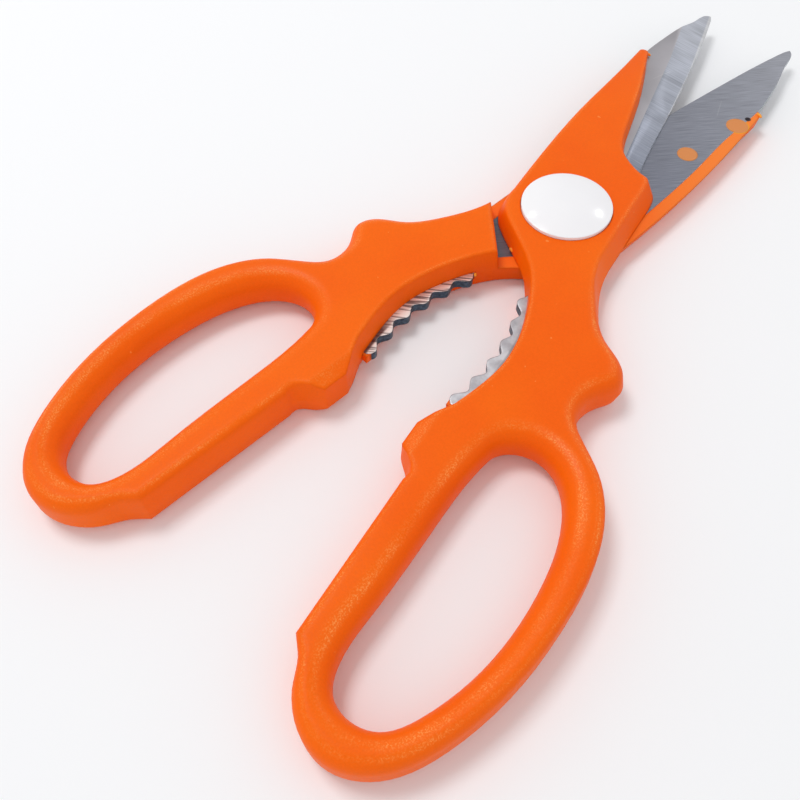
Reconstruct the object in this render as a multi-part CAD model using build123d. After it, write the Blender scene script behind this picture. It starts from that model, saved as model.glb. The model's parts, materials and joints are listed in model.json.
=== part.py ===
from build123d import *
import os
from math import cos, hypot, radians, sin, sqrt

# Kitchen shears, in millimetres. Each half is drawn closed, with the pivot at the origin, the blade tip
# towards +Y, the finger loop towards -Y and the inner face of the blade just above z = 0.
# The second half is the first one turned over about the Y axis.

# Whole shears
blade_reach = 88.2            # pivot to blade tip
handle_reach = 117.2          # pivot to the far end of the finger loop
handle_spread = 39.1          # centre line to the outer side of the finger loop
handle_thickness = 9.4        # the loops and the handle bodies
open_angle = 15.0             # degrees between the halves as they lie at rest
overrun = 2.0                 # how far a cut runs past the solid that it cuts

# Steel blanks
blade_thickness = 2.0
blade_gap = 0.1               # between the inner faces of the two blanks
blank_half_width = 10.8       # beside the pivot
edge_land = 0.35              # steel left at the cutting edge
plug_hole_radius = 2.35       # hole that the moulding fills
notch_radius = 2.6            # open notch in the spine, also filled
tang_hole_radius = 3.0        # hidden hole that locks the tang in the moulding

# Serrated jaw
tooth_count = 6
tooth_pitch = 5.25
tooth_height = 1.35
jaw_radius = 46.5             # the row of teeth lies on this arc
jaw_crest = 4.95              # centre line to the middle of the row
jaw_middle = 39.4             # pivot to the middle of the row

# Handles
cover_reach = 63.0            # pivot to the end of the cover on the blade
cover_half_width = 14.2
loop_gap = 7.8                # between the loops' inner bars when closed
stop_gap = 0.6                # between the two stops when closed
stop_facet_width = 2.6
stop_facet_height = 1.5
loop_hole_round = 4.0         # rounding of the finger hole's edge
edge_round = 2.9              # deepest rounding of the handle's outer edge
step_distance = 15.3          # pivot to the shoulder that the other half swings past
step_lean = 0.3               # how far the shoulder leans back over half the thickness
step_round = 1.1              # rounding of the shoulder's top edge
step_bearing = 48.9           # degrees from +X down to the foot of the shoulder
peg_width = 1.6               # small moulded peg at the end of the teeth
peg_length = 2.2
peg_height = 2.0
cover_slope_start = 34.0      # pivot to where the cover's top begins to curve down
cover_tip_height = 3.1        # the cover's height at its end

# Pivot
bolt_radius = 3.0
pivot_play = 0.05             # radial, upper blank on the bolt
seat_play = 0.02              # radial, between pieces that don't turn on each other
head_radius = 5.5
head_height = 1.2
slot_width = 1.2
slot_depth = 0.6
washer_radius = 7.0
washer_thickness = 0.5
spring_washer_radius = 6.0
spring_washer_thickness = 0.6
nut_flats = 8.0
nut_height = 1.3
thread_end = 0.1              # how far the bolt stands past the nut
recess_radius = 8.0           # round well in the handle over the pivot
cap_radius = 9.6
cap_seat_depth = 0.5          # how deep the cap's plate sits in the handle
cap_rise = 0.6                # upright rim of the upper cap above the handle
cap_dome = 1.6
cap_skirt = 0.9               # wall of the ring that holds a cap in its well
cap_play = 0.1
skirt_depth = 0.9

half_thickness = handle_thickness / 2
inner_face = blade_gap / 2
outer_face = inner_face + blade_thickness


def spots(across, along, shares):
    """Places from shares of a width and of a length."""
    return [(across * x, along * y) for x, y in shares]


def outline(*runs):
    """A closed face. Each run starts where the last one ended: one place is a straight, more are a curve."""
    if len(runs) == 1:
        return Face(Wire([Spline(*runs[0], periodic=True)]))
    start = runs[-1][-1]
    edges = []
    for run in runs:
        places = [start, *run]
        edges.append(Line(*places) if len(places) == 2 else Spline(*places))
        start = run[-1]
    return Face(Wire(edges))


def slab(face, low, high):
    """A face pulled up into a solid between two heights."""
    return Pos(0, 0, low) * extrude(face, amount=high - low)


def disc(radius, low, high):
    return slab(Face(Wire(Circle(radius).edge())), low, high)


# Places along the blank, from the tip down the spine, round the tang and back up the cutting edge, as shares
# of blank_half_width and blade_reach
spine_shares = [(-0.045, 0.993), (-0.2, 0.938), (-0.352, 0.883), (-0.565, 0.792), (-0.704, 0.712), (-0.741, 0.626),
                (-0.778, 0.524), (-0.88, 0.41), (-0.963, 0.262), (-1.0, 0.09), (-1.0, -0.011)]
blank_corner_shares = [(-0.95, -0.042), (-0.82, -0.065)]
blank_neck_shares = [(-0.574, -0.097), (-0.157, -0.141), (0.25, -0.196), (0.44, -0.236)]
tang_side_shares = [(1.11, -0.575), (1.53, -0.478), (1.62, -0.376), (1.435, -0.285), (1.13, -0.199),
                    (1.02, -0.114)]
blank_side_shares = [(1.0, 0.148)]
heel_shares = [(0.824, 0.188)]
edge_shares = [(0.741, 0.256), (0.639, 0.37), (0.556, 0.513), (0.398, 0.706), (0.222, 0.883), (0.088, 0.982)]
tip_shares = [(0.03, 1.0)]
# Where the ground bevel begins: across, along, and the cutting edge's place across beside it
bevel_shares = [(0.44, 0.17, 0.83), (0.09, 0.5, 0.57), (-0.14, 0.72, 0.39), (-0.58, 1.03, -0.02)]
# The holes that the moulding fills: the plug and the notch in the spine, along as shares of cover_reach, and the
# hidden hole in the tang
cover_lock_shares = [(-0.48, 0.595), (-0.68, 0.8582)]
tang_lock_shares = [(1.06, -0.42)]
row_end_share = 0.4           # how far the row of teeth runs on past its last crests, of tooth_pitch
tang_end_shares = (0.7, 0.44)  # across, of blank_half_width, and down past the row's end, of tooth_height


def tooth_places():
    """The row of teeth along the jaw's arc: crests on a short radius, roots between them on a long one."""
    places = []
    for half_step in range(2 * tooth_count - 1):
        along = (half_step - (tooth_count - 1)) * tooth_pitch / 2
        reach = jaw_radius + (tooth_height / 2 if half_step % 2 else -tooth_height / 2)
        turn = along / jaw_radius
        places.append((jaw_crest - jaw_radius + reach * cos(turn), -jaw_middle - reach * sin(turn)))
    return places


def blank_outline():
    teeth = tooth_places()
    ends = [(teeth[end][0] + tooth_height / 2, teeth[end][1] + way * tooth_pitch * row_end_share)
            for end, way in ((0, 1), (-1, -1))]
    tang_end = (blank_half_width * tang_end_shares[0], ends[1][1] - tooth_height * tang_end_shares[1])

    def run(shares):
        return spots(blank_half_width, blade_reach, shares)

    return outline(
        run(spine_shares),
        run(blank_corner_shares),
        run(blank_neck_shares),
        [ends[0]],
        [*teeth, ends[1]],
        [tang_end],
        run(tang_side_shares),
        run(blank_side_shares),
        run(heel_shares),
        run(edge_shares),
        run(tip_shares),
    )


def bevel_room():
    """The steel that is ground away between the bevel's line and the cutting edge."""
    sections = []
    for line_share, reach_share, edge_share in bevel_shares:
        line = blank_half_width * line_share
        edge = blank_half_width * edge_share
        slope = (blade_thickness - edge_land) / (edge - line)
        out = edge + overrun
        corners = [
            (line, outer_face),
            (out, inner_face + edge_land - slope * overrun),
            (out, outer_face + overrun),
            (line, outer_face + overrun),
        ]
        station = Plane(origin=(0, blade_reach * reach_share, 0), x_dir=(1, 0, 0), z_dir=(0, -1, 0))
        sections.append(station * Polygon(*corners, align=None))
    return loft(sections, ruled=True)


def blank():
    """One stamped steel blank, closed and inner face down."""
    body = slab(blank_outline(), inner_face, outer_face)
    body -= bevel_room()
    body -= disc(bolt_radius + pivot_play, -overrun, outer_face + overrun)
    places = spots(blank_half_width, cover_reach, cover_lock_shares)
    places += spots(blank_half_width, blade_reach, tang_lock_shares)
    for place, radius in zip(places, (plug_hole_radius, notch_radius, tang_hole_radius)):
        body -= Pos(*place) * disc(radius, -overrun, outer_face + overrun)
    return body


# Places along the handle at the parting line: across, along, how far the wall leans in up to the top, and
# the rounding of its top edge. Across is a share of cover_half_width or handle_spread, along a share of
# cover_reach or handle_reach, the lean a share of half_thickness and the rounding a share of edge_round.
cover_spine_shares = [(-0.764, 0.786, 0.36, 0.19), (-0.901, 0.508, 0.36, 0.19), (-0.961, 0.224, 0.36, 0.19),
                      (-0.965, 0.0, 0.36, 0.22)]
cover_corner_shares = [(-0.937, -0.0375, 0.3, 0.3), (-0.83, -0.065, 0.25, 0.25)]
jaw_wall_shares = [(-0.585, -0.095, 0.22, 0.16), (-0.28, -0.127, 0.2, 0.16), (0.063, -0.17, 0.15, 0.16),
                   (0.275, -0.217, 0.1, 0.16), (0.4155, -0.27, 0.12, 0.16), (0.493, -0.3225, 0.13, 0.16),
                   (0.486, -0.361, 0.18, 0.16), (0.394, -0.413, 0.22, 0.16), (0.2535, -0.4675, 0.2, 0.14)]
stop_shares = [0.5247, 0.569]
stop_edge_shares = (0.03, 0.1)
stop_foot_shares = [(0.0256, -0.58, 0.15, 0.1), (0.0614, -0.592, 0.2, 0.15), (0.0895, -0.602, 0.2, 0.3)]
bar_shares = [0.62, 0.887]
bar_edge_shares = (0.1, 0.49)
loop_shares = [(0.133, -0.8985, 0.05, 0.5), (0.166, -0.911, 0.03, 0.55), (0.188, -0.926, 0.02, 0.7),
               (0.207, -0.941, 0.0, 0.85), (0.28, -0.974, 0.0, 0.97), (0.467, -1.0, 0.0, 1.0),
               (0.67, -0.974, 0.0, 0.95), (0.829, -0.901, 0.0, 0.8), (0.945, -0.795, 0.03, 0.6),
               (1.0, -0.666, 0.05, 0.5), (0.968, -0.546, 0.05, 0.5), (0.834, -0.462, 0.05, 0.55),
               (0.687, -0.417, 0.05, 0.75), (0.632, -0.3925, 0.08, 0.9), (0.623, -0.36, 0.1, 0.97),
               (0.669, -0.326, 0.15, 0.9), (0.726, -0.298, 0.22, 0.85), (0.701, -0.2645, 0.22, 0.85),
               (0.563, -0.2285, 0.2, 0.7), (0.45, -0.1735, 0.3, 0.45), (0.382, -0.116, 0.42, 0.2),
               (0.361, -0.068, 0.48, 0.13)]
cover_side_shares = [(1.0, 0.206, 0.52, 0.16)]
cover_blade_shares = [(0.982, 0.254, 0.5, 0.18), (0.933, 0.284, 0.48, 0.18), (0.845, 0.3045, 0.46, 0.18),
                      (0.725, 0.3125, 0.42, 0.18), (0.592, 0.322, 0.36, 0.18), (0.437, 0.343, 0.32, 0.18),
                      (0.303, 0.373, 0.32, 0.18), (0.194, 0.427, 0.32, 0.18), (0.106, 0.516, 0.32, 0.18),
                      (-0.081, 0.722, 0.32, 0.18), (-0.29, 0.88, 0.28, 0.18), (-0.43, 0.96, 0.14, 0.18)]
cover_tip_shares = [(-0.49, 0.979, 0.12, 0.18), (-0.58, 0.981, 0.12, 0.18), (-0.645, 0.964, 0.12, 0.18)]
# Places round the finger hole
hole_shares = [(0.3616, -0.5077), (0.417, -0.4795), (0.528, -0.468), (0.6726, -0.4876), (0.7834, -0.5444),
               (0.8404, -0.6485), (0.808, -0.7816), (0.692, -0.8857), (0.578, -0.931), (0.465, -0.939),
               (0.351, -0.9225), (0.304, -0.8887), (0.302, -0.802), (0.3235, -0.64)]
edge_facets = 6               # flats that a rounded edge is made of


def handle_runs():
    """The handle's outer side, as runs of (x, y, lean, rounding)."""
    def run(across, along, shares):
        return [(across * x, along * y, half_thickness * lean, edge_round * edge) for x, y, lean, edge in shares]

    def corner(across, share, lean, edge):
        return [(across, -handle_reach * share, half_thickness * lean, edge_round * edge)]

    return [
        run(cover_half_width, cover_reach, cover_spine_shares),
        run(cover_half_width, handle_reach, cover_corner_shares),
        run(cover_half_width, handle_reach, jaw_wall_shares),
        corner(stop_gap / 2, stop_shares[0], *stop_edge_shares),
        corner(stop_gap / 2, stop_shares[1], *stop_edge_shares),
        run(handle_spread, handle_reach, stop_foot_shares)
        + corner(loop_gap / 2, bar_shares[0], *bar_edge_shares),
        corner(loop_gap / 2, bar_shares[1], *bar_edge_shares),
        run(handle_spread, handle_reach, loop_shares),
        run(cover_half_width, cover_reach, cover_side_shares),
        run(cover_half_width, cover_reach, cover_blade_shares),
        run(cover_half_width, cover_reach, cover_tip_shares),
    ]


def hole_runs():
    places = spots(handle_spread, handle_reach, hole_shares)
    return [[(x, y, 0, loop_hole_round) for x, y in places]]


def drawn_in(runs, height):
    """The runs at one height: each place moves in by its wall's lean and its edge's rounding."""
    places = [place for run in runs for place in run]
    moved = []
    for index, (x, y, lean, edge) in enumerate(places):
        before = places[index - 1]
        after = places[(index + 1) % len(places)]
        along = hypot(after[0] - before[0], after[1] - before[1])
        above = max(0, height - half_thickness + edge)
        inset = lean * height / half_thickness + edge - sqrt(max(0, edge ** 2 - above ** 2))
        moved.append((x - (after[1] - before[1]) / along * inset, y + (after[0] - before[0]) / along * inset))
    result, first = [], 0
    for run in runs:
        result.append(moved[first:first + len(run)])
        first += len(run)
    return result


def rounded_half(runs, deepest):
    """A solid from the parting line up, with its walls leaning and its top edges rounded."""
    heights = [0] + [half_thickness - deepest * (1 - sin(radians(90 * step / edge_facets)))
                     for step in range(edge_facets + 1)]
    faces = [Pos(0, 0, height) * outline(*drawn_in(runs, height)) for height in heights]
    walls = []
    for low, high in zip(faces, faces[1:]):
        pairs = zip(low.outer_wire().edges(), high.outer_wire().edges())
        walls += [Face.make_surface_from_curves(*pair) for pair in pairs]
    return Solid(Shell([faces[0], faces[-1], *walls]))


def swing_room():
    """The space beside the pivot, past the inner face, where the other half swings."""
    past = half_thickness + overrun
    edge = step_distance + step_lean
    rounding = [(edge + step_round * (1 - cos(turn)), -half_thickness + step_round * (1 - sin(turn)))
                for turn in (radians(90 * step / edge_facets) for step in range(edge_facets + 1))]
    section = Polygon(
        (-blade_reach, inner_face),
        (step_distance, inner_face),
        *rounding,
        (edge + step_round, -past),
        (-blade_reach, -past),
        align=None,
    )
    bearing = radians(step_bearing)
    away = (cos(bearing), -sin(bearing), 0)
    beside = (-sin(bearing), -cos(bearing), 0)
    return extrude(Plane(origin=(0, 0, 0), x_dir=away, z_dir=beside) * section, amount=blade_reach, both=True)


def cover_tip_room():
    """The room over the end of the cover, where its top curves down to the blade."""
    run = cover_reach - cover_slope_start
    fall = half_thickness - cover_tip_height
    bend = (run ** 2 + fall ** 2) / (2 * fall)
    section = Polygon(
        (cover_slope_start, 0),
        (cover_reach + overrun, 0),
        (cover_reach + overrun, half_thickness + overrun),
        (cover_slope_start, half_thickness + overrun),
        align=None,
    )
    wide = cover_half_width + overrun
    below = Pos(0, cover_slope_start, half_thickness - bend) * Rot(0, 90, 0) * Cylinder(bend, 2 * (wide + overrun))
    return extrude(Plane.YZ * section, amount=wide, both=True) - below


def stop_facets():
    """The sloping facets above and below the stop's flat, from the jaw's wall to the loop's bar."""
    fall = stop_facet_height / stop_facet_width
    low = (stop_gap / 2 - overrun, half_thickness - stop_facet_height - fall * overrun)
    high = (stop_gap / 2 + stop_facet_width + overrun, half_thickness + fall * overrun)
    section = Plane.XZ * Polygon(low, high, (low[0], high[1]), align=None)
    start = handle_reach * jaw_wall_shares[-1][1]
    end = -handle_reach * bar_shares[0]
    wedge = Pos(0, start, 0) * extrude(section, amount=start - end)
    return wedge + mirror(wedge, Plane.XY)


def pivot_well():
    well = disc(recess_radius, outer_face, half_thickness + overrun)
    well += disc(bolt_radius + pivot_play, -overrun, half_thickness)
    return well + disc(cap_radius + cap_play, half_thickness - cap_seat_depth, half_thickness + overrun)


def peg():
    """A moulded peg on the jaw's wall, beside the last tooth."""
    x, y = spots(cover_half_width, handle_reach, [jaw_wall_shares[-1][:2]])[0]
    middle = Pos(x, y + peg_width / 2, (outer_face + inner_face) / 2)
    return middle * Box(peg_length, peg_width, peg_height)


def handle(steel):
    """One moulded handle, closed, round its steel blank."""
    upper = rounded_half(handle_runs(), edge_round) - rounded_half(hole_runs(), loop_hole_round)
    shape = upper + mirror(upper, Plane.XY)
    shape -= swing_room()
    shape -= cover_tip_room()
    shape -= stop_facets()
    shape += peg()
    shape -= steel
    return shape - pivot_well()


def cap(rise, dome):
    """A round cap: a plate with an upright rim, a domed top and a ring that grips the well."""
    seat = half_thickness - cap_seat_depth
    rim = half_thickness + rise
    plate = disc(cap_radius, seat, rim)
    if dome:
        ball = (cap_radius ** 2 + dome ** 2) / (2 * dome)
        plate += Pos(0, 0, rim + dome - ball) * Sphere(ball) & disc(cap_radius, rim, rim + dome)
    ring = recess_radius - cap_play
    skirt = disc(ring, seat - skirt_depth, seat) - disc(ring - cap_skirt, seat - skirt_depth, seat)
    return plate + skirt


def bolt():
    end = -(outer_face + spring_washer_thickness + nut_height + thread_end)
    seat = outer_face + washer_thickness
    head = disc(head_radius, seat, seat + head_height)
    slot = Pos(0, 0, seat + head_height) * Box(2 * head_radius, slot_width, 2 * slot_depth)
    return disc(bolt_radius, end, seat) + head - slot


def washer(radius, low, high):
    return disc(radius, low, high) - disc(bolt_radius + seat_play, low, high)


def nut():
    high = -(outer_face + spring_washer_thickness)
    low = high - nut_height
    body = slab(RegularPolygon(nut_flats / 2, 6, major_radius=False), low, high)
    return body - disc(bolt_radius + seat_play, low, high)


def assembly():
    """Every piece in its place about the pivot, by name."""
    steel = blank()
    moulding = handle(steel)
    upper = Rot(0, 0, open_angle / 2)
    lower = Rot(0, 0, -open_angle / 2) * Rot(0, 180, 0)
    return {
        "upper_blade": upper * steel,
        "lower_blade": lower * steel,
        "upper_handle": upper * moulding,
        "lower_handle": lower * moulding,
        "upper_cap": upper * cap(cap_rise, cap_dome),
        "lower_cap": lower * cap(0, 0),
        "pivot_bolt": bolt(),
        "upper_washer": washer(washer_radius, outer_face, outer_face + washer_thickness),
        "spring_washer": washer(spring_washer_radius, -outer_face - spring_washer_thickness, -outer_face),
        "pivot_nut": nut(),
    }


def main():
    """The shears stand on z = 0, with x = 0 and y = 0 in the middle of their box."""
    pieces = assembly()
    box = Compound([solid for piece in pieces.values() for solid in piece.solids()]).bounding_box()
    middle = box.center()
    home = Pos(-middle.X, -middle.Y, -box.min.Z)
    os.makedirs("parts", exist_ok=True)
    for name, piece in pieces.items():
        export_step(home * piece, f"parts/{name}.step")
    print("pivot at", home.position, "size", box.size)


main()
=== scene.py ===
import json
import math

import bmesh
import bpy
from mathutils import Matrix, Vector

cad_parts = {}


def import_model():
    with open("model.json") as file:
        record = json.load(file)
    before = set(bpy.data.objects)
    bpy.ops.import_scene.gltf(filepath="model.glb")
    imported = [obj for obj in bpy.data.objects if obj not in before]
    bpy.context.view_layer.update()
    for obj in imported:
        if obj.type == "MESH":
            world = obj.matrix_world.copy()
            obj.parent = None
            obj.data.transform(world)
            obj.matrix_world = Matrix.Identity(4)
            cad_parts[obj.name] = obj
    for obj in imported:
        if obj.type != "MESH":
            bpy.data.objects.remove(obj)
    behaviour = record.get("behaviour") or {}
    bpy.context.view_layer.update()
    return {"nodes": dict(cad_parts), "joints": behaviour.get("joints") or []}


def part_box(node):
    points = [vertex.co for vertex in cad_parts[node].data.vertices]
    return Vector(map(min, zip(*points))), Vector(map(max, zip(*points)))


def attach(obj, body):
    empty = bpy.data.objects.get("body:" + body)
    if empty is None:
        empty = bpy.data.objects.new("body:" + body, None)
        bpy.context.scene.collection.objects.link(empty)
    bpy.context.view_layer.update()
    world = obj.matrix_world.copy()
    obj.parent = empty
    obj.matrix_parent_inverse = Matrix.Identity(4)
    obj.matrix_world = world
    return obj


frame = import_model()
nodes = frame["nodes"]
joint = frame["joints"][0]
pivot = Vector(joint["pos_m"])
MM = 0.001
PER_MM = 1 / MM
HALVES = ("upper", "lower")
# Each half is drawn closed, in millimetres from the pivot at mid thickness, and turned to its place at rest
HALF_OPEN = math.radians(-joint["range_deg"][0] / 2)
HALF_THICKNESS = (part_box("upper_handle")[1].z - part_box("upper_handle")[0].z) / 2
MIDDLE = pivot + Vector((0, 0, HALF_THICKNESS))
TURNED_OVER = (-1, 1, -1)              # what turning a half over about its length does to a point of it

# The camera: its place in metres from the pivot at mid thickness, its angles in degrees, with the bearing
# from +Y, and its sensor and lens in millimetres
CAMERA_FROM_PIVOT = Vector((0.05687, -0.12429, 0.13203))
CAMERA_BEARING = 39.583
CAMERA_DOWN = 56.729
CAMERA_ROLL = -0.335
SENSOR = 36.0
LENS = 38.16
CLIP_START = 5 * MM

# The world's levels: on the object from low down and from overhead, in glossy surfaces, and for the camera
WHITE = (1, 1, 1, 1)
WORLD_LEVELS = (1.13, 0.46)
MIRRORED_LEVEL = 0.5
CAMERA_LEVEL = 1.0
# Lamps: the direction they stand in as the camera sees it (right, ahead, up), in metres and watts
LAMP_DISTANCE = 1.0
LAMPS = {
    "key": {"towards": (-0.34, 0.2, 0.92), "size": 0.32, "power": 3.42},
    "glint_right": {"towards": (0.52, 0.54, 0.66), "size": 0.035, "power": 0.6, "glint_only": True},
    "glint_left": {"towards": (-0.24, 0.54, 0.8), "size": 0.025, "power": 0.25, "glint_only": True},
}

# The curve that turns a written colour into light: a straight line up to the knee, and a power above it
KNEE = 0.04045
KNEE_SLOPE = 12.92
CURVE_OFFSET = 0.055
CURVE_POWER = 2.4
FULL = 255


def linear(red, green, blue):
    """A colour written as 0 to 255, as the shaders take it."""
    def channel(value):
        share = value / FULL
        if share <= KNEE:
            return share / KNEE_SLOPE
        return ((share + CURVE_OFFSET) / (1 + CURVE_OFFSET)) ** CURVE_POWER
    return (channel(red), channel(green), channel(blue), 1)


def seen(right, ahead, up):
    """A direction given as the camera sees it, in the frame."""
    bearing = math.radians(CAMERA_BEARING)
    across = Vector((math.cos(bearing), math.sin(bearing), 0))
    away = Vector((-math.sin(bearing), math.cos(bearing), 0))
    return across * right + away * ahead + Vector((0, 0, up))


def camera():
    """A camera that sees the shears as the photograph does."""
    down = math.radians(CAMERA_DOWN)
    roll = math.radians(CAMERA_ROLL)
    look = seen(0, math.cos(down), -math.sin(down))
    right = seen(1, 0, 0)
    up = right.cross(look)
    turned_right = right * math.cos(roll) + up * math.sin(roll)
    turned_up = up * math.cos(roll) - right * math.sin(roll)
    data = bpy.data.cameras.new("camera")
    data.sensor_width = SENSOR
    data.lens = LENS
    data.clip_start = CLIP_START
    obj = bpy.data.objects.new("camera", data)
    matrix = Matrix((turned_right, turned_up, -look)).transposed().to_4x4()
    matrix.translation = MIDDLE + CAMERA_FROM_PIVOT
    obj.matrix_world = matrix
    bpy.context.scene.collection.objects.link(obj)
    bpy.context.scene.camera = obj


def lamp(name, towards, size, power, glint_only=False):
    """A square lamp that faces the object. One for glints alone shows only in glossy surfaces."""
    data = bpy.data.lights.new(name, "AREA")
    data.shape = "SQUARE"
    data.size = size
    data.energy = power
    place = seen(*towards).normalized() * LAMP_DISTANCE
    obj = bpy.data.objects.new(name, data)
    obj.location = place
    obj.rotation_mode = "QUATERNION"
    obj.rotation_quaternion = (-place).to_track_quat("-Z", "Y")
    obj.visible_diffuse = not glint_only
    bpy.context.scene.collection.objects.link(obj)


def world():
    """White light, stronger from low down. The camera sees full white, and glossy surfaces an even grey."""
    made = bpy.data.worlds.new("world")
    made.use_nodes = True
    tree = made.node_tree
    path = tree.nodes.new("ShaderNodeLightPath")
    up = split(tree, tree.nodes.new("ShaderNodeTexCoord").outputs["Generated"])["Z"]
    level = ranged(tree, maths(tree, "ABSOLUTE", up), 0, 1, *WORLD_LEVELS)
    level = blended(tree, path.outputs["Is Glossy Ray"], level, MIRRORED_LEVEL)
    level = blended(tree, path.outputs["Is Camera Ray"], level, CAMERA_LEVEL)
    tree.nodes["Background"].inputs["Color"].default_value = WHITE
    tree.links.new(level, tree.nodes["Background"].inputs["Strength"])
    bpy.context.scene.world = made


# Helpers for the materials' nodes. A value is a socket to link or a plain value to set.
BEVEL_SAMPLES = 6
MIX_FIRST_COLOUR = 6                   # the Mix node's colour sockets share their names with others
MIX_SECOND_COLOUR = 7
MIX_COLOUR_RESULT = 2


def put(tree, socket, value):
    if isinstance(value, bpy.types.NodeSocket):
        tree.links.new(value, socket)
    else:
        socket.default_value = value


def maths(tree, operation, *values):
    made = tree.nodes.new("ShaderNodeMath")
    made.operation = operation
    for socket, value in zip(made.inputs, values):
        put(tree, socket, value)
    return made.outputs[0]


def both(tree, first, second):
    """Where two masks overlap."""
    return maths(tree, "MULTIPLY", first, second)


def either(tree, first, second):
    return maths(tree, "MAXIMUM", first, second)


def vector_maths(tree, operation, *values):
    made = tree.nodes.new("ShaderNodeVectorMath")
    made.operation = operation
    for socket, value in zip(made.inputs, values):
        put(tree, socket, value)
    return made.outputs["Value" if operation == "LENGTH" else "Vector"]


def scaled(tree, vector, factor):
    made = tree.nodes.new("ShaderNodeVectorMath")
    made.operation = "SCALE"
    put(tree, made.inputs["Vector"], vector)
    put(tree, made.inputs["Scale"], factor)
    return made.outputs["Vector"]


def ranged(tree, value, start, end, low=0, high=1):
    """low where the value is at start, high where it is at end, and steady outside them."""
    made = tree.nodes.new("ShaderNodeMapRange")
    put(tree, made.inputs["Value"], value)
    put(tree, made.inputs["From Min"], start)
    put(tree, made.inputs["From Max"], end)
    put(tree, made.inputs["To Min"], low)
    put(tree, made.inputs["To Max"], high)
    return made.outputs["Result"]


def mixed(tree, factor, first, second):
    """A colour between two."""
    made = tree.nodes.new("ShaderNodeMix")
    made.data_type = "RGBA"
    put(tree, made.inputs["Factor"], factor)
    put(tree, made.inputs[MIX_FIRST_COLOUR], first)
    put(tree, made.inputs[MIX_SECOND_COLOUR], second)
    return made.outputs[MIX_COLOUR_RESULT]


def blended(tree, factor, first, second):
    """A number between two."""
    made = tree.nodes.new("ShaderNodeMix")
    put(tree, made.inputs["Factor"], factor)
    put(tree, made.inputs["A"], first)
    put(tree, made.inputs["B"], second)
    return made.outputs[0]


def noise(tree, place, scale, detail=2.0, roughness=0.5):
    made = tree.nodes.new("ShaderNodeTexNoise")
    put(tree, made.inputs["Vector"], place)
    made.inputs["Scale"].default_value = scale
    made.inputs["Detail"].default_value = detail
    made.inputs["Roughness"].default_value = roughness
    return made.outputs["Fac"]


def split(tree, vector):
    made = tree.nodes.new("ShaderNodeSeparateXYZ")
    put(tree, made.inputs[0], vector)
    return made.outputs


def turned(tree, vector, angle):
    made = tree.nodes.new("ShaderNodeVectorRotate")
    made.rotation_type = "Z_AXIS"
    put(tree, made.inputs["Vector"], vector)
    made.inputs["Angle"].default_value = angle
    return made.outputs[0]


def rounded_normal(tree, radius):
    """The normal, as if every edge had this radius."""
    made = tree.nodes.new("ShaderNodeBevel")
    made.samples = BEVEL_SAMPLES
    put(tree, made.inputs["Radius"], radius)
    return made.outputs[0]


def bumped(tree, height, strength, distance, normal):
    made = tree.nodes.new("ShaderNodeBump")
    put(tree, made.inputs["Height"], height)
    put(tree, made.inputs["Strength"], strength)
    made.inputs["Distance"].default_value = distance
    put(tree, made.inputs["Normal"], normal)
    return made.outputs[0]


def started(name):
    """A new material, its nodes and its shader."""
    material = bpy.data.materials.new(name)
    material.use_nodes = True
    return material, material.node_tree, material.node_tree.nodes["Principled BSDF"]


def spot(tree):
    """The place on the object, in metres, which moves with it."""
    return tree.nodes.new("ShaderNodeTexCoord").outputs["Object"]


def closed_place(tree, half):
    """The place in millimetres on the half as it is drawn closed."""
    place = vector_maths(tree, "SUBTRACT", spot(tree), MIDDLE)
    if half == "upper":
        return scaled(tree, turned(tree, place, -HALF_OPEN), PER_MM)
    return scaled(tree, vector_maths(tree, "MULTIPLY", turned(tree, place, HALF_OPEN), TURNED_OVER), PER_MM)


def facing_up(tree):
    """How far a face looks up, from -1 to 1."""
    return split(tree, tree.nodes.new("ShaderNodeNewGeometry").outputs["True Normal"])["Z"]


def closed_facing(tree, half):
    """How far a face looks towards the outer side of its half, from -1 to 1."""
    up = facing_up(tree)
    return up if half == "upper" else maths(tree, "MULTIPLY", up, -1)


# What ranged, noise and bumped are given. A range is the value at its start and end, then what it gives
# there if that isn't 0 and 1. A noise on the object is its features per metre, its detail, and its roughness
# if that isn't 0.5. A bump is its strength and its height.
MOST = (0.3, 0.7)                      # most of a noise's values lie between these
CLOUDED = (0.35, 0.65)                 # a narrower span, for clearer clouds

# A crest, by how level the rounded normal or the face itself is: 1 is level, and 0 is upright
ROLL_STARTS = (0.985, 0.95)
ROLL_ENDS = (0.82, 0.9)
LEVEL_FACE = (0.985, 0.995)
BESIDE_EDGE = (0.999, 0.98)

# Circles on the closed half: their middle's place across and along it, and their radius, in millimetres
PLUG = (-5.18, 37.49, 2.5)
NOTCH = (-7.34, 54.07, 2.75)
NOTCH_GAP = (-7.7, 57.9, 0.6)
CAP_PLACE = (0, 0, 10.6)
CIRCLE_BLUR = 0.12
CORE_BLUR = 0.2
CAP_BLUR = 0.6
OUTLINE_WIDTH = 0.28


def crest_mask(tree, normal):
    """1 where a surface begins to roll over from level to steep, and on a level face beside its edge."""
    level = maths(tree, "ABSOLUTE", split(tree, normal)["Z"])
    rolling = both(tree, ranged(tree, level, *ROLL_STARTS), ranged(tree, level, *ROLL_ENDS))
    face = maths(tree, "ABSOLUTE", facing_up(tree))
    beside = both(tree, ranged(tree, face, *LEVEL_FACE), ranged(tree, level, *BESIDE_EDGE))
    return either(tree, rolling, beside)


def near(tree, place, circle, blur=CIRCLE_BLUR):
    """1 inside a circle on the closed half, fading out over the blur."""
    middle_across, middle_along, radius = circle
    across, along, _ = split(tree, place)
    dx = maths(tree, "SUBTRACT", across, middle_across)
    dy = maths(tree, "SUBTRACT", along, middle_along)
    squares = maths(tree, "ADD", maths(tree, "MULTIPLY", dx, dx), maths(tree, "MULTIPLY", dy, dy))
    return ranged(tree, maths(tree, "SQRT", squares), radius + blur, radius)


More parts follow.
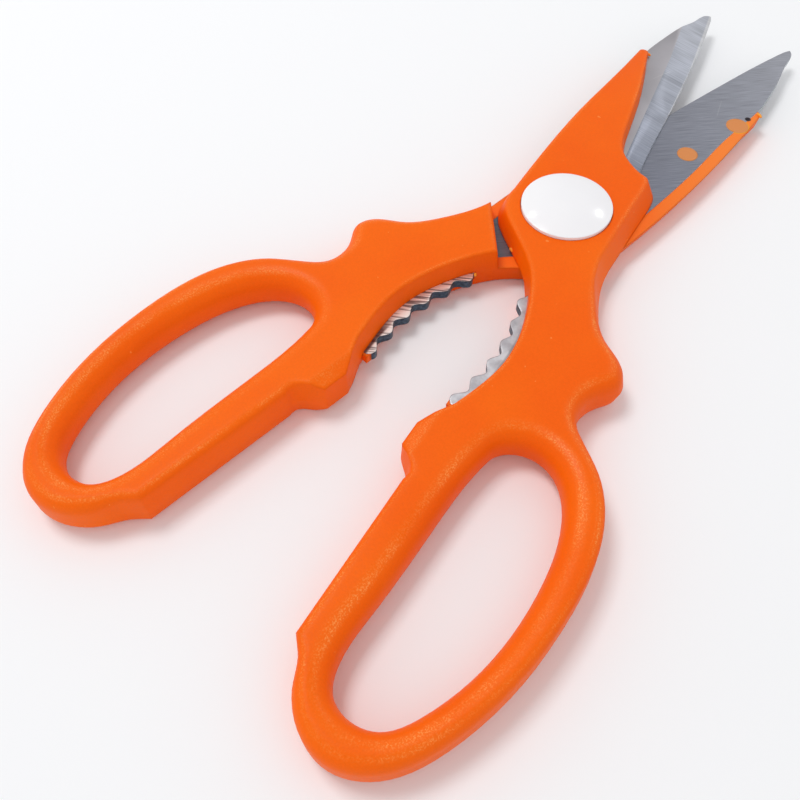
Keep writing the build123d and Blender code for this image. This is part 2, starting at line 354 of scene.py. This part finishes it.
def streaks(tree, place, angle, along, across, detail):
    """Brushing: noise drawn out along one direction, in streaks per millimetre."""
    lying = vector_maths(tree, "MULTIPLY", turned(tree, place, -angle), (along, across, along))
    return noise(tree, lying, 1, detail)


# Orange plastic
ORANGE = linear(250, 105, 0)
DEEP_ORANGE = linear(247, 97, 0)
# PALE_ORANGE is the colour of the painted crest highlight, and the flecks' own colour
PALE_ORANGE = linear(255, 160, 84)
RIM_ORANGE = linear(250, 132, 50)
PLUG_ORANGE = linear(218, 140, 82)
PLUG_OUTLINE = linear(238, 156, 30)
# A painted shadow for the dark gap by the notch, on the plastic and on the steel
GAP_PAINTED_SHADOW = linear(56, 50, 54)
GRAIN = (2600, 3, 0.65)
ORANGE_CLOUD = (45, 3)
# SPARKLE and DRIFT, with their ranges, break up the painted crest highlight
SPARKLE = (3400, 1, 0.6)
DRIFT = (70, 2)
FLECKS = (700, 1)
MOULD_WAVES = (160, 2)
GRAIN_SHADES = (*MOST, 0.96, 1.03)
SPARKLE_RANGE = (0.48, 0.68, 0.16, 1)
DRIFT_RANGE = (0.42, 0.6, 0.25, 0.8)
FLECK_RANGE = (0.79, 0.81, 0, 0.5)
PLASTIC_ROUGHNESS = (*MOST, 0.4, 0.55)
CREST_ROUGHNESS = (*MOST, 0.24, 0.38)
PLASTIC_SPECULAR = 0.12
PLASTIC_ROUNDING = 0.7 * MM
CREST_ROUNDING = 1.5 * MM
WAVE_BUMP = (0.25, 0.05 * MM)
GRAIN_BUMP = (0.8, 0.04 * MM)
# The parting face looks to the half's inner side, near mid thickness, and pales towards the blade's tip
PARTING_FACING = (-0.9, -0.98)
PARTING_HEIGHT = (0.5, 0.3)
RIM_PALES = (5, 45, 0.35, 1)


def parting_mask(tree, place, facing):
    """1 on the plastic of the inner side, where the two halves meet."""
    level = maths(tree, "ABSOLUTE", split(tree, place)["Z"])
    return both(tree, ranged(tree, facing, *PARTING_FACING), ranged(tree, level, *PARTING_HEIGHT))


def inner_side(tree, place, parting, colour):
    """The colour with the inner side's own: a paler rim, two outlined plugs, and a painted shadow in the gap
    by the notch.
    """
    rim = both(tree, parting, ranged(tree, split(tree, place)["Y"], *RIM_PALES))
    colour = mixed(tree, rim, colour, RIM_ORANGE)
    plugs = both(tree, parting, either(tree, near(tree, place, PLUG), near(tree, place, NOTCH)))
    cores = [(across, along, radius - OUTLINE_WIDTH) for across, along, radius in (PLUG, NOTCH)]
    plug_body = either(tree, *(near(tree, place, core, CORE_BLUR) for core in cores))
    colour = mixed(tree, plugs, colour, mixed(tree, plug_body, PLUG_OUTLINE, PLUG_ORANGE))
    # A painted shadow in the gap by the notch
    gap = both(tree, parting, near(tree, place, NOTCH_GAP, CORE_BLUR))
    return mixed(tree, gap, colour, GAP_PAINTED_SHADOW)


def orange_plastic(half):
    """Grained plastic, with a painted pale highlight that sparkles on its crests."""
    material, tree, shader = started(f"orange_plastic_{half}")
    here = spot(tree)
    place = closed_place(tree, half)
    parting = parting_mask(tree, place, closed_facing(tree, half))
    grain = noise(tree, here, *GRAIN)
    crest = crest_mask(tree, rounded_normal(tree, CREST_ROUNDING))

    cloud = ranged(tree, noise(tree, here, *ORANGE_CLOUD), *CLOUDED)
    colour = mixed(tree, cloud, ORANGE, DEEP_ORANGE)
    colour = scaled(tree, colour, ranged(tree, grain, *GRAIN_SHADES))
    colour = inner_side(tree, place, parting, colour)

    # The painted crest highlight: sparkles on the crests, away from the parting face and the cap; the flecks
    # are the plastic's own
    sparkle = ranged(tree, noise(tree, here, *SPARKLE), *SPARKLE_RANGE)
    drift = ranged(tree, noise(tree, here, *DRIFT), *DRIFT_RANGE)
    spared = either(tree, parting, near(tree, place, CAP_PLACE, CAP_BLUR))
    open_crest = both(tree, crest, maths(tree, "SUBTRACT", 1, spared))
    painted_crest_highlight = both(tree, open_crest, both(tree, sparkle, drift))
    flecks = ranged(tree, noise(tree, here, *FLECKS), *FLECK_RANGE)
    colour = mixed(tree, either(tree, painted_crest_highlight, flecks), colour, PALE_ORANGE)

    plain_gloss = ranged(tree, grain, *PLASTIC_ROUGHNESS)
    crest_gloss = ranged(tree, grain, *CREST_ROUGHNESS)
    rounded = rounded_normal(tree, PLASTIC_ROUNDING)
    waves = bumped(tree, noise(tree, here, *MOULD_WAVES), *WAVE_BUMP, rounded)
    put(tree, shader.inputs["Base Color"], colour)
    put(tree, shader.inputs["Roughness"], blended(tree, crest, plain_gloss, crest_gloss))
    shader.inputs["Specular IOR Level"].default_value = PLASTIC_SPECULAR
    put(tree, shader.inputs["Normal"], bumped(tree, grain, *GRAIN_BUMP, waves))
    return material


# Steel
INNER_STEEL = linear(143, 146, 159)
INNER_TIP_STEEL = linear(177, 179, 188)
OUTER_STEEL = linear(187, 184, 189)
BEVEL_STEEL = linear(134, 139, 153)
BEVEL_TIP_STEEL = linear(187, 190, 199)
SPINE_STEEL = linear(176, 184, 186)
# The colour of the painted shadow at the teeth's roots
PAINTED_SHADOW_STEEL = linear(84, 44, 40)
CUT_STEEL = linear(70, 82, 96)
TOOTH_STEEL = linear(222, 222, 226)
# BRIGHT_STEEL is the painted glint at the edge, and the scratches' and the hatching's own colour
BRIGHT_STEEL = linear(250, 247, 242)
BROWN_STEEL = linear(142, 136, 136)
# Brushing: its direction from the closed half's +X, streaks per millimetre along and across it, and detail
GRINDING = math.radians(9)
BEVEL_BRUSHING = (GRINDING, 0.12, 3.2, 5)
BEVEL_PATCHES = (GRINDING, 0.06, 0.22, 1)
INNER_BRUSHING = (math.radians(127), 0.16, 8.0, 4)
TOOTH_HATCHING = (math.radians(140), 0.12, 2.3, 2)
SCRATCHES = (math.radians(65), 0.05, 1.3, 1)
STEEL_CLOUD = (90, 4)
TOOTH_CLOUD = (330, 3)
CUT_SPECKLE = (1400, 2)
# Which way a face looks, from -1 on the inner side to 1 on the outer side
OUTER_FACE = (0.975, 0.99)
INNER_FACE = (-0.975, -0.99)
CUT_FACE = (0.6, 0.4)
# Places on the closed half in millimetres: along it, or above mid thickness for the edge
JAW_START = (-18.0, -21.0)
BEVEL_PALES = (18, 86)
INNER_PALES = (25, 90)
# A painted shadow on the inner face near the pivot: where it runs along the half, and its factor there
INNER_PAINTED_SHADOW = (-8, 20, 0.6, 1)
EDGE_PAINTED_GLINT = (0.5, 0.44, 0, 0.3)
# Shades, as factors of a colour
BEVEL_PATCH_SHADES = (*CLOUDED, 0.92, 1.12)
BEVEL_STREAK_SHADES = (0.25, 0.75, 0.8, 1.2)
OUTER_SHADES = (*MOST, 0.92, 1.07)
INNER_STREAK_SHADES = (*MOST, 0.74, 1.26)
SPINE_SHADES = (*MOST, 0.9, 1.08)
CUT_SHADES = (*MOST, 0.6, 1.5)
# Where these noises change one colour into another
TOOTH_CLOUD_RANGE = (0.38, 0.62)
HATCHING_RANGE = (0.4, 0.5)
SCRATCH_RANGE = (0.74, 0.76, 0, 0.12)
# The teeth's groove and the painted shadow at their roots, by the distance from the middle of the arc that
# the teeth lie on
ROW_CENTRE = (-41.55, -39.4, 0)
GROOVE_RADIUS = 48.6
GROOVE_WIDTH = (0.45, 0.1)
GROOVE_STRENGTH = 0.6
ROOT_RADIUS = (46.9, 47.3)
ROOT_ALONG = (-44, -48, 0, 0.9)
# How metallic, how rough and how rounded the steel is
WHOLE_METAL = 1.0
HATCHED_METAL = 0.55
STEEL_ROUGHNESS = (*MOST, 0.36, 0.46)
BLADE_ROUNDING = 0.12 * MM
JAW_ROUNDING = 0.4 * MM
STEEL_BUMP = (0.3, 0.02 * MM)


def bevel_colour(tree, place, ground):
    """The ground bevel: paler towards the tip, patchy, streaked, and with a painted glint at the edge."""
    _, along, height = split(tree, place)
    patches = streaks(tree, place, *BEVEL_PATCHES)
    colour = mixed(tree, ranged(tree, along, *BEVEL_PALES), BEVEL_STEEL, BEVEL_TIP_STEEL)
    colour = scaled(tree, colour, ranged(tree, patches, *BEVEL_PATCH_SHADES))
    colour = scaled(tree, colour, ranged(tree, ground, *BEVEL_STREAK_SHADES))
    # A painted glint along the cutting edge
    return mixed(tree, ranged(tree, height, *EDGE_PAINTED_GLINT), colour, BRIGHT_STEEL)


def inner_colour(tree, place, fine):
    """The inner face: paler towards the tip, finely streaked, and darker near the pivot with a painted
    shadow.
    """
    along = split(tree, place)["Y"]
    colour = mixed(tree, ranged(tree, along, *INNER_PALES), INNER_STEEL, INNER_TIP_STEEL)
    colour = scaled(tree, colour, ranged(tree, fine, *INNER_STREAK_SHADES))
    # Painted shadow near the pivot
    colour = scaled(tree, colour, ranged(tree, along, *INNER_PAINTED_SHADOW))
    # A painted shadow in the gap by the notch
    return mixed(tree, near(tree, place, NOTCH_GAP, CORE_BLUR), colour, GAP_PAINTED_SHADOW)


def tooth_colour(tree, here, place, inner, hatching):
    """The teeth: cloudy with a brown groove on the outer side, and hatched with a painted shadow at the
    roots on the inner.
    """
    from_centre = vector_maths(tree, "SUBTRACT", place, ROW_CENTRE)
    radius = vector_maths(tree, "LENGTH", vector_maths(tree, "MULTIPLY", from_centre, (1, 1, 0)))
    off_groove = maths(tree, "ABSOLUTE", maths(tree, "SUBTRACT", radius, GROOVE_RADIUS))
    groove = maths(tree, "MULTIPLY", ranged(tree, off_groove, *GROOVE_WIDTH), GROOVE_STRENGTH)
    cloud = ranged(tree, noise(tree, here, *TOOTH_CLOUD), *TOOTH_CLOUD_RANGE)
    outer_colour = mixed(tree, cloud, TOOTH_STEEL, OUTER_STEEL)
    outer_colour = mixed(tree, groove, outer_colour, BROWN_STEEL)
    along = split(tree, place)["Y"]
    # Painted shadow between the plastic wall and the teeth's roots
    painted_root_shadow = both(tree, ranged(tree, radius, *ROOT_RADIUS), ranged(tree, along, *ROOT_ALONG))
    hatched = mixed(tree, ranged(tree, hatching, *HATCHING_RANGE), BROWN_STEEL, BRIGHT_STEEL)
    hatched = mixed(tree, painted_root_shadow, hatched, PAINTED_SHADOW_STEEL)
    return mixed(tree, inner, outer_colour, hatched)


def blade_steel(half):
    """Brushed steel, with its own brushing and colour on each face of the blank and on its teeth."""
    material, tree, shader = started(f"blade_steel_{half}")
    here = spot(tree)
    place = closed_place(tree, half)
    facing = closed_facing(tree, half)
    outer = ranged(tree, facing, *OUTER_FACE)
    inner = ranged(tree, facing, *INNER_FACE)
    cut = ranged(tree, maths(tree, "ABSOLUTE", facing), *CUT_FACE)
    jaw = ranged(tree, split(tree, place)["Y"], *JAW_START)
    fine = streaks(tree, place, *INNER_BRUSHING)
    ground = streaks(tree, place, *BEVEL_BRUSHING)
    hatching = streaks(tree, place, *TOOTH_HATCHING)
    cloud = noise(tree, here, *STEEL_CLOUD)

    outer_colour = scaled(tree, OUTER_STEEL[:3], ranged(tree, cloud, *OUTER_SHADES))
    colour = mixed(tree, outer, bevel_colour(tree, place, ground), outer_colour)
    colour = mixed(tree, inner, colour, inner_colour(tree, place, fine))
    colour = mixed(tree, jaw, colour, tooth_colour(tree, here, place, inner, hatching))
    scratch = ranged(tree, streaks(tree, place, *SCRATCHES), *SCRATCH_RANGE)
    colour = mixed(tree, scratch, colour, BRIGHT_STEEL)
    speckle = noise(tree, here, *CUT_SPECKLE)
    spine_colour = scaled(tree, SPINE_STEEL[:3], ranged(tree, speckle, *SPINE_SHADES))
    cut_colour = scaled(tree, CUT_STEEL[:3], ranged(tree, speckle, *CUT_SHADES))
    colour = mixed(tree, cut, colour, mixed(tree, jaw, spine_colour, cut_colour))

    metal = ranged(tree, both(tree, jaw, inner), 0, 1, WHOLE_METAL, HATCHED_METAL)
    rounded = rounded_normal(tree, blended(tree, jaw, BLADE_ROUNDING, JAW_ROUNDING))
    relief = blended(tree, jaw, blended(tree, inner, ground, fine), hatching)
    put(tree, shader.inputs["Base Color"], colour)
    put(tree, shader.inputs["Metallic"], metal)
    put(tree, shader.inputs["Roughness"], ranged(tree, cloud, *STEEL_ROUGHNESS))
    put(tree, shader.inputs["Normal"], bumped(tree, relief, *STEEL_BUMP, rounded))
    return material


# The white caps
CAP_WHITE = linear(250, 249, 251)
CAP_SHADE = linear(246, 245, 248)
CAP_CLOUD = (60, 2)
CAP_MATTING = (900, 3)
CAP_WAVES = (220, 2)
CAP_ROUGHNESS = (*MOST, 0.1, 0.16)
CAP_ROUNDING = 0.3 * MM
CAP_BUMP = (0.1, 0.02 * MM)


def cap_plastic():
    """Glossy white plastic."""
    material, tree, shader = started("white_plastic_cap")
    here = spot(tree)
    cloud = ranged(tree, noise(tree, here, *CAP_CLOUD), *MOST)
    roughness = ranged(tree, noise(tree, here, *CAP_MATTING), *CAP_ROUGHNESS)
    waves = bumped(tree, noise(tree, here, *CAP_WAVES), *CAP_BUMP, rounded_normal(tree, CAP_ROUNDING))
    put(tree, shader.inputs["Base Color"], mixed(tree, cloud, CAP_WHITE, CAP_SHADE))
    put(tree, shader.inputs["Roughness"], roughness)
    put(tree, shader.inputs["Normal"], waves)
    return material


# The bolt, the nut and the washers
FASTENER_STEEL = linear(196, 196, 200)
RINGS = (9, 3)                         # per millimetre out from the pivot, and detail
RING_SHADES = (*MOST, 0.85, 1.1)
FASTENER_GRAIN = (700, 3)
FASTENER_ROUGHNESS = (*MOST, 0.25, 0.4)
FASTENER_ROUNDING = 0.15 * MM
FASTENER_BUMP = (0.2, 0.02 * MM)


def fastener_steel():
    """Turned steel: rings about the pivot."""
    material, tree, shader = started("fastener_steel_turned")
    here = spot(tree)
    from_pivot = vector_maths(tree, "SUBTRACT", here, MIDDLE)
    radius = vector_maths(tree, "LENGTH", vector_maths(tree, "MULTIPLY", from_pivot, (PER_MM, PER_MM, 0)))
    rings = noise(tree, vector_maths(tree, "MULTIPLY", (1, 0, 0), radius), *RINGS)
    roughness = ranged(tree, noise(tree, here, *FASTENER_GRAIN), *FASTENER_ROUGHNESS)
    relief = bumped(tree, rings, *FASTENER_BUMP, rounded_normal(tree, FASTENER_ROUNDING))
    colour = scaled(tree, FASTENER_STEEL[:3], ranged(tree, rings, *RING_SHADES))
    put(tree, shader.inputs["Base Color"], colour)
    shader.inputs["Metallic"].default_value = WHOLE_METAL
    put(tree, shader.inputs["Roughness"], roughness)
    put(tree, shader.inputs["Normal"], relief)
    return material


# The floor
FLOOR_WHITE = linear(249, 250, 252)
FLOOR_SIZE = 6
FLOOR_DROP = 0.1 * MM
FLOOR_ROUGHNESS = 0.9
FLOOR_SPECULAR = 0.1


def floor():
    """A plain pale floor just under the object."""
    bpy.ops.mesh.primitive_plane_add(size=FLOOR_SIZE, location=(0, 0, -FLOOR_DROP))
    obj = bpy.context.active_object
    obj.name = "floor"
    material, tree, shader = started("floor")
    shader.inputs["Base Color"].default_value = FLOOR_WHITE
    shader.inputs["Roughness"].default_value = FLOOR_ROUGHNESS
    shader.inputs["Specular IOR Level"].default_value = FLOOR_SPECULAR
    obj.data.materials.append(material)


# Slivers and flecks of plastic left by the moulding: half, middle on the closed half, size across, along and
# tall in millimetres, turn in degrees
FLAKES = {
    "cover_sliver_upper": ("upper", (-6.45, 61.25, 2.55), (1.6, 0.7, 0.7), -20),
    "cover_sliver_lower": ("lower", (-8.9, 60.85, -0.1), (2.3, 1.1, 0.7), 15),
    "row_sliver_upper": ("upper", (3.35, -54.0, 1.2), (0.9, 0.8, 0.6), 20),
    "row_sliver_lower": ("lower", (2.4, -24.75, -0.5), (1.0, 0.8, 0.8), 40),
    "neck_sliver_upper": ("upper", (-5.6, -13.4, 0.7), (1.6, 0.9, 0.8), -40),
    "spine_fleck_low": ("upper", (-10.2, 41.35, 3.35), (0.8, 0.4, 0.3), 70),
    "spine_fleck_high": ("upper", (-8.95, 55.8, 2.75), (0.7, 0.35, 0.3), 60),
    "loop_fleck_lower": ("lower", (34.18, -58.58, -4.2), (0.9, 0.3, 0.25), 30),
}
# A flake's corners, by how far each lies out, and its rings, by their height and radius
FLAKE_ROUND_SHARES = (1.0, 0.8, 0.95, 0.68, 0.9, 1.06, 0.76, 0.92)
FLAKE_RING_SHARES = ((-0.5, 0.5), (-0.1, 1.0), (0.28, 0.8), (0.5, 0.3))
FLAKE_LEVELS = 2
SLIVER_YELLOW = linear(253, 176, 34)
SLIVER_ORANGE = linear(246, 134, 20)
SLIVER_GRAIN = (1800, 3)
SLIVER_ROUGHNESS = (*MOST, 0.35, 0.55)
SLIVER_ROUNDING = 0.1 * MM
SLIVER_BUMP = (0.4, 0.03 * MM)


def placed(half, point):
    """A point in millimetres on the closed half, in the frame at rest."""
    if half == "upper":
        return Matrix.Rotation(HALF_OPEN, 3, "Z") @ point * MM + MIDDLE
    return Matrix.Rotation(-HALF_OPEN, 3, "Z") @ (point * Vector(TURNED_OVER)) * MM + MIDDLE


def sliver_plastic():
    """The yellower plastic of thin slivers."""
    material, tree, shader = started("orange_plastic_sliver")
    grain = noise(tree, spot(tree), *SLIVER_GRAIN)
    colour = mixed(tree, ranged(tree, grain, *CLOUDED), SLIVER_ORANGE, SLIVER_YELLOW)
    relief = bumped(tree, grain, *SLIVER_BUMP, rounded_normal(tree, SLIVER_ROUNDING))
    put(tree, shader.inputs["Base Color"], colour)
    put(tree, shader.inputs["Roughness"], ranged(tree, grain, *SLIVER_ROUGHNESS))
    put(tree, shader.inputs["Normal"], relief)
    return material


def flake_rings(made, half, middle, size, turn):
    """The corners of a flake, in rings from its foot to its top."""
    wide, long, tall = size
    lean = Matrix.Rotation(math.radians(turn), 2)
    for height_share, radius_share in FLAKE_RING_SHARES:
        ring = []
        for index, round_share in enumerate(FLAKE_ROUND_SHARES):
            angle = math.tau * index / len(FLAKE_ROUND_SHARES)
            reach = radius_share * round_share / 2
            offset = lean @ Vector((math.cos(angle) * wide * reach, math.sin(angle) * long * reach))
            point = Vector(middle) + Vector((*offset, tall * height_share))
            ring.append(made.verts.new(placed(half, point)))
        yield ring


def flake(name, material, half, middle, size, turn):
    """A small uneven bit of plastic that rides on its half."""
    made = bmesh.new()
    rings = list(flake_rings(made, half, middle, size, turn))
    for lower, upper in zip(rings, rings[1:]):
        for index in range(len(lower)):
            made.faces.new((lower[index - 1], lower[index], upper[index], upper[index - 1]))
    made.faces.new(rings[0])
    made.faces.new(rings[-1])
    bmesh.ops.recalc_face_normals(made, faces=made.faces)
    mesh = bpy.data.meshes.new(name)
    made.to_mesh(mesh)
    made.free()
    mesh.shade_smooth()
    mesh.materials.append(material)
    obj = bpy.data.objects.new(name, mesh)
    bpy.context.scene.collection.objects.link(obj)
    softened = obj.modifiers.new("softened", "SUBSURF")
    softened.levels = FLAKE_LEVELS
    softened.render_levels = FLAKE_LEVELS
    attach(obj, f"{half}_half")


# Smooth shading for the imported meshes
CRISP_ANGLE = math.radians(21)
WELD_DISTANCE = 0.001 * MM


def smoothing_group():
    """Joins split corners, and shades smooth across all but crisp edges."""
    group = bpy.data.node_groups.new("smooth_shading", "GeometryNodeTree")
    for way in ("INPUT", "OUTPUT"):
        group.interface.new_socket("Geometry", in_out=way, socket_type="NodeSocketGeometry")
    start = group.nodes.new("NodeGroupInput")
    weld = group.nodes.new("GeometryNodeMergeByDistance")
    angle = group.nodes.new("GeometryNodeInputMeshEdgeAngle")
    compare = group.nodes.new("FunctionNodeCompare")
    normals = group.nodes.new("GeometryNodeSetMeshNormal")
    end = group.nodes.new("NodeGroupOutput")
    weld.inputs["Distance"].default_value = WELD_DISTANCE
    compare.data_type = "FLOAT"
    compare.operation = "GREATER_THAN"
    compare.inputs[1].default_value = CRISP_ANGLE
    normals.mode = "SHARPNESS"
    normals.inputs["Remove Custom"].default_value = True
    links = group.links
    links.new(start.outputs[0], weld.inputs["Geometry"])
    links.new(angle.outputs["Unsigned Angle"], compare.inputs[0])
    links.new(weld.outputs[0], normals.inputs["Mesh"])
    links.new(compare.outputs[0], normals.inputs["Edge Sharpness"])
    links.new(normals.outputs[0], end.inputs[0])
    return group


def smooth(obj, group):
    """Smooth shading with the crisp edges kept."""
    modifier = obj.modifiers.new("smooth_shading", "NODES")
    modifier.node_group = group
    weighted = obj.modifiers.new("weighted", "WEIGHTED_NORMAL")
    weighted.keep_sharp = True


def dress():
    """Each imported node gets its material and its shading."""
    group = smoothing_group()
    finishes = {f"{half}_handle": orange_plastic(half) for half in HALVES}
    finishes.update({f"{half}_blade": blade_steel(half) for half in HALVES})
    white = cap_plastic()
    finishes.update({f"{half}_cap": white for half in HALVES})
    turned_steel = fastener_steel()
    for name, obj in nodes.items():
        for slot in obj.material_slots:
            slot.material = finishes.get(name, turned_steel)
        smooth(obj, group)


camera()
for name, settings in LAMPS.items():
    lamp(name, **settings)
world()
floor()
dress()
sliver = sliver_plastic()
for name, (half, middle, size, turn) in FLAKES.items():
    flake(name, sliver, half, middle, size, turn)
bpy.context.scene.view_settings.view_transform = "Standard"
